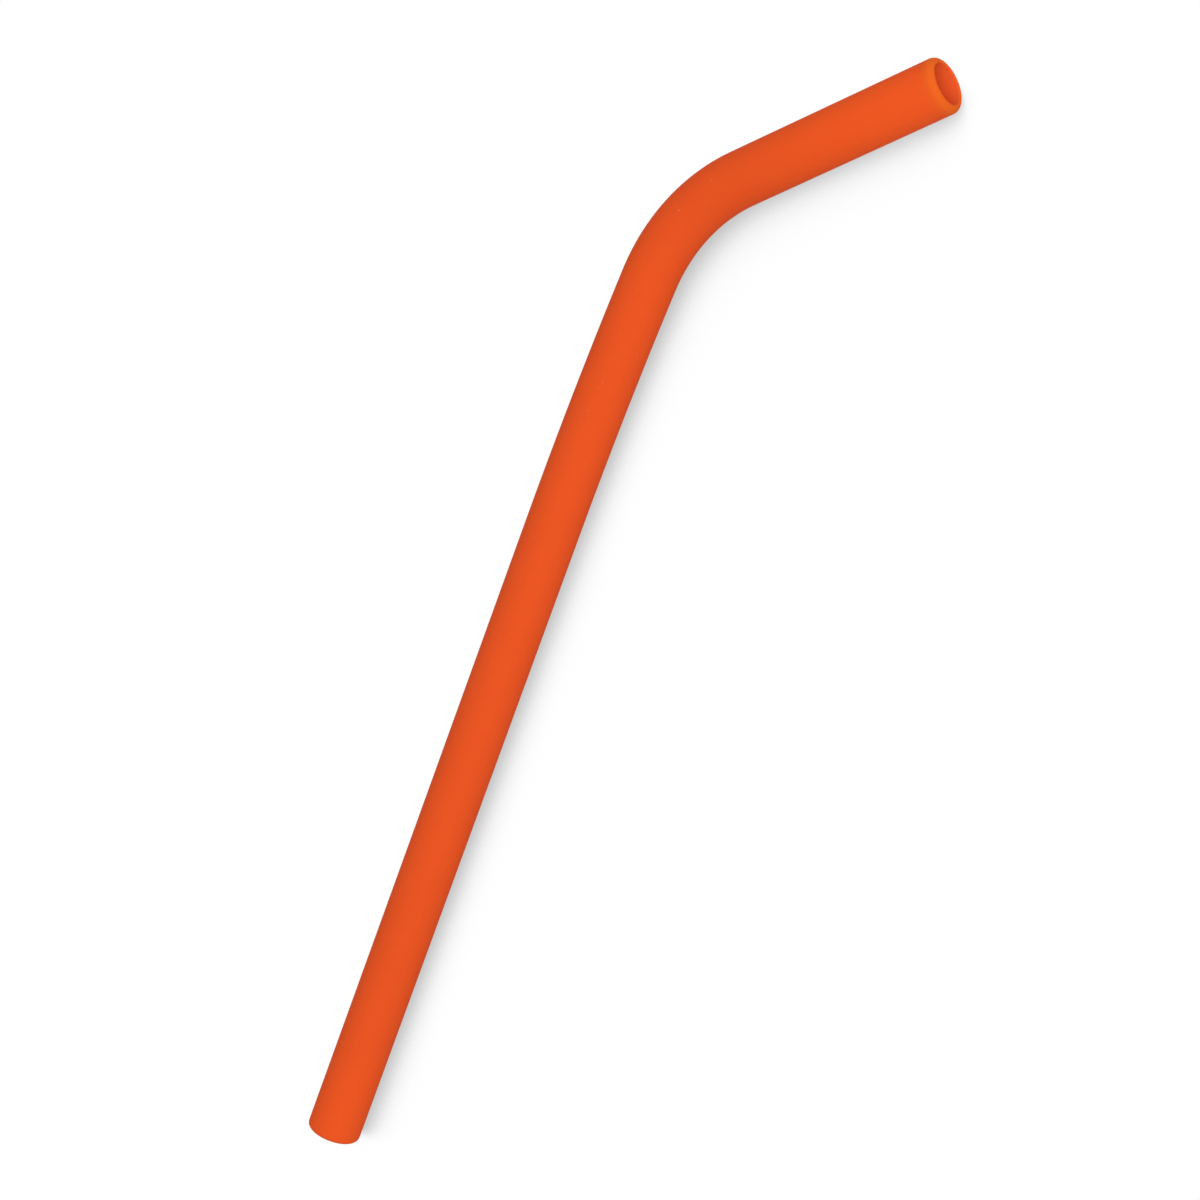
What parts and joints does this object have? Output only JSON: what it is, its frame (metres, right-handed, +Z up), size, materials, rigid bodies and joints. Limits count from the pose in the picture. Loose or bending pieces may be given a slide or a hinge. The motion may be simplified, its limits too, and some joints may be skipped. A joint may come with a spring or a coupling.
{
  "type": "silicone drinking straw",
  "caption": "Soft round tube for drinking, with a long leg, a bend of 45 degrees, a short leg with a rounded mouth, and one bore all the way through.",
  "frame": {"origin": "on the surface the straw lies on, under the middle of its outline seen from above", "axes": "+X along the long leg from the foot towards the bend, -Y the side that the short leg turns to, +Z up from the surface"},
  "size_m": [0.2252, 0.0512, 0.01],
  "materials": {
    "silicone": "matte moulded silicone"
  },
  "bodies": {
    "root": {"straw": "silicone"}
  },
  "joints": []
}
